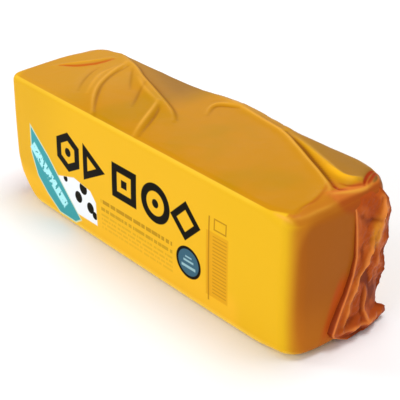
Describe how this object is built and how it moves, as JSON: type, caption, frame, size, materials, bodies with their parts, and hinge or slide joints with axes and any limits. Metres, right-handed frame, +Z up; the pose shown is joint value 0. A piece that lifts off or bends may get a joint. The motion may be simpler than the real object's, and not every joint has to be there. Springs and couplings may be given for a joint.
{
  "type": "film-wrapped bar of gouda cheese",
  "caption": "Long bar of gouda cheese shut in tight, creased plastic film, with a folded film flap and short tail at each end. It rests on its flat base.",
  "frame": {"origin": "centre of the flat base's outline box, on the surface that the bar rests on", "axes": "+X along the bar towards its near end, +Y towards its back, +Z up from its base"},
  "size_m": [0.3303, 0.0974, 0.1091],
  "materials": {
    "film": "tight opaque amber-yellow food film, satin gloss"
  },
  "bodies": {
    "root": {"gouda_pack": "film"}
  },
  "joints": []
}
